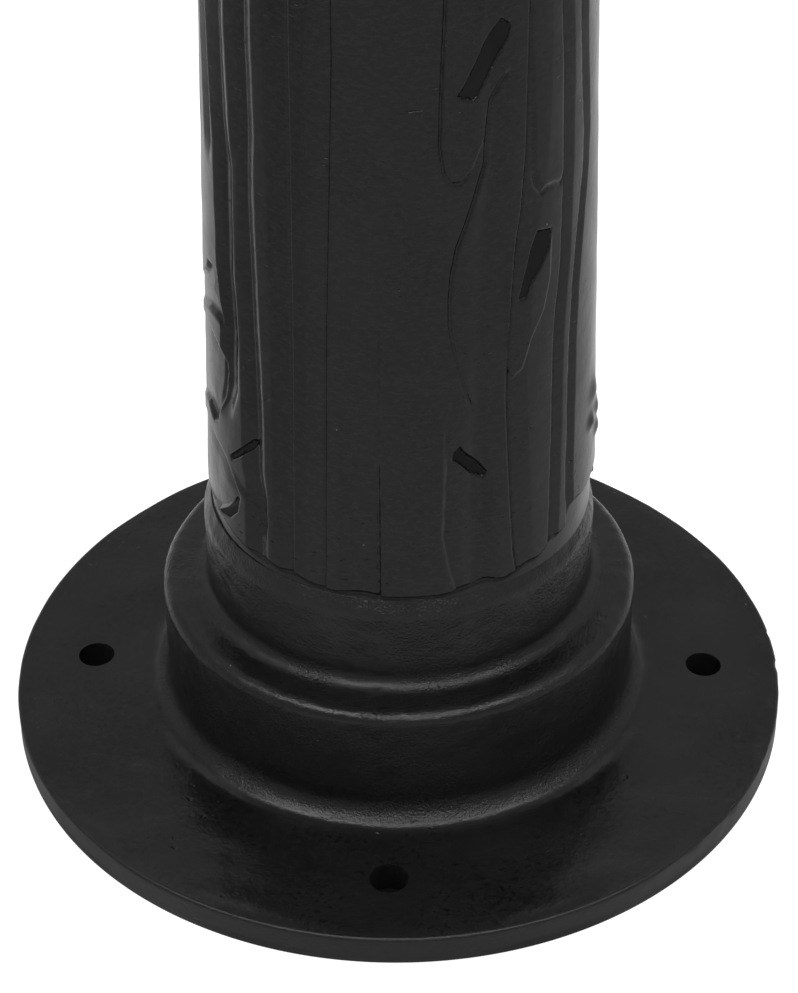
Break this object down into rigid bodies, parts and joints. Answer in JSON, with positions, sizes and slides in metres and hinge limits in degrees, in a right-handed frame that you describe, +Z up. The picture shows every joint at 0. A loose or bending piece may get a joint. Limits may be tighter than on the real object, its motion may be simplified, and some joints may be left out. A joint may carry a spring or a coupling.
{
  "type": "street clock",
  "caption": "Tall double-faced street clock: round bolted foot plate, stepped collar, tapering fluted column, slim upper post, and a drum with hinged glass faces on both sides.",
  "frame": {"origin": "centre of the foot plate's underside, on the post's axis", "axes": "+Z up along the post, -Y out of the front face, +X to the right of somebody facing the front face"},
  "size_m": [0.447, 0.3, 2.3625],
  "materials": {
    "black_iron": "satin",
    "black_steel": "satin",
    "black_aluminium": "satin",
    "zinc_steel": "satin",
    "brass": "polished",
    "dial_white": "satin",
    "hand_black": "satin",
    "black_plastic": "satin",
    "pale_plastic": "satin",
    "glass": "gloss",
    "black_rubber": "matte"
  },
  "bodies": {
    "clock": {"base_flange": "black_iron", "lower_column": "black_iron", "column_cap": "black_iron", "post_ring": "black_iron", "upper_post": "black_steel", "head_bracket": "black_aluminium", "clock_case": "black_aluminium", "finial": "black_aluminium", "post_ring_screw": "zinc_steel", "tie_rod": "zinc_steel", "tie_rod_foot_washer": "zinc_steel", "tie_rod_foot_nut": "zinc_steel", "tie_rod_head_washer": "zinc_steel", "tie_rod_head_nut": "zinc_steel", "case_bolt_left": "zinc_steel", "case_bolt_right": "zinc_steel", "finial_bolt": "zinc_steel", "dial_front": "dial_white", "dial_screw_1_front": "brass", "dial_screw_2_front": "brass", "movement_case_front": "black_plastic", "movement_cover_front": "pale_plastic", "movement_nut_front": "brass", "battery_front": "zinc_steel", "hinge_pin_front": "zinc_steel", "bezel_catch_front": "black_plastic", "dial_rear": "dial_white", "dial_screw_1_rear": "brass", "dial_screw_2_rear": "brass", "movement_case_rear": "black_plastic", "movement_cover_rear": "pale_plastic", "movement_nut_rear": "brass", "battery_rear": "zinc_steel", "hinge_pin_rear": "zinc_steel", "bezel_catch_rear": "black_plastic"},
    "minute_front": {"minute_arbor_front": "brass", "minute_hand_front": "hand_black", "hand_cap_front": "brass"},
    "setter_front": {"minute_wheel_front": "pale_plastic", "setting_knob_front": "pale_plastic"},
    "hour_front": {"hour_wheel_front": "pale_plastic", "hour_hand_front": "hand_black"},
    "bezel_front": {"bezel_front": "black_aluminium", "glass_front": "glass", "glass_gasket_front": "black_rubber", "glass_ring_front": "zinc_steel", "bezel_knob_front": "brass"},
    "minute_rear": {"minute_arbor_rear": "brass", "minute_hand_rear": "hand_black", "hand_cap_rear": "brass"},
    "setter_rear": {"minute_wheel_rear": "pale_plastic", "setting_knob_rear": "pale_plastic"},
    "hour_rear": {"hour_wheel_rear": "pale_plastic", "hour_hand_rear": "hand_black"},
    "bezel_rear": {"bezel_rear": "black_aluminium", "glass_rear": "glass", "glass_gasket_rear": "black_rubber", "glass_ring_rear": "zinc_steel", "bezel_knob_rear": "brass"}
  },
  "joints": [
    {"name": "minute_spin_front", "type": "hinge", "parent": "clock", "child": "minute_front", "pos_m": [0, -0.0612, 2.0195], "axis": [0, -1, 0], "continuous": true},
    {"name": "setter_spin_front", "type": "hinge", "parent": "clock", "child": "setter_front", "pos_m": [0, -0.0275, 2.0355], "axis": [0, -1, 0], "continuous": true},
    {"name": "hour_spin_front", "type": "hinge", "parent": "clock", "child": "hour_front", "pos_m": [0, -0.057, 2.0195], "axis": [0, -1, 0], "continuous": true},
    {"name": "bezel_hinge_front", "type": "hinge", "parent": "clock", "child": "bezel_front", "pos_m": [0.2185, -0.075, 2.0195], "axis": [0, 0, 1], "range_deg": [0, 110]},
    {"name": "minute_spin_rear", "type": "hinge", "parent": "clock", "child": "minute_rear", "pos_m": [0, 0.0612, 2.0195], "axis": [0, 1, 0], "continuous": true},
    {"name": "setter_spin_rear", "type": "hinge", "parent": "clock", "child": "setter_rear", "pos_m": [0, 0.0275, 2.0355], "axis": [0, 1, 0], "continuous": true},
    {"name": "hour_spin_rear", "type": "hinge", "parent": "clock", "child": "hour_rear", "pos_m": [0, 0.057, 2.0195], "axis": [0, 1, 0], "continuous": true},
    {"name": "bezel_hinge_rear", "type": "hinge", "parent": "clock", "child": "bezel_rear", "pos_m": [-0.2185, 0.075, 2.0195], "axis": [0, 0, 1], "range_deg": [0, 110]}
  ],
  "couplings": [
    {"joint": "setter_spin_front", "follows": "minute_spin_front", "ratio": -0.33333},
    {"joint": "hour_spin_front", "follows": "minute_spin_front", "ratio": 0.083333},
    {"joint": "setter_spin_rear", "follows": "minute_spin_rear", "ratio": -0.33333},
    {"joint": "hour_spin_rear", "follows": "minute_spin_rear", "ratio": 0.083333}
  ]
}
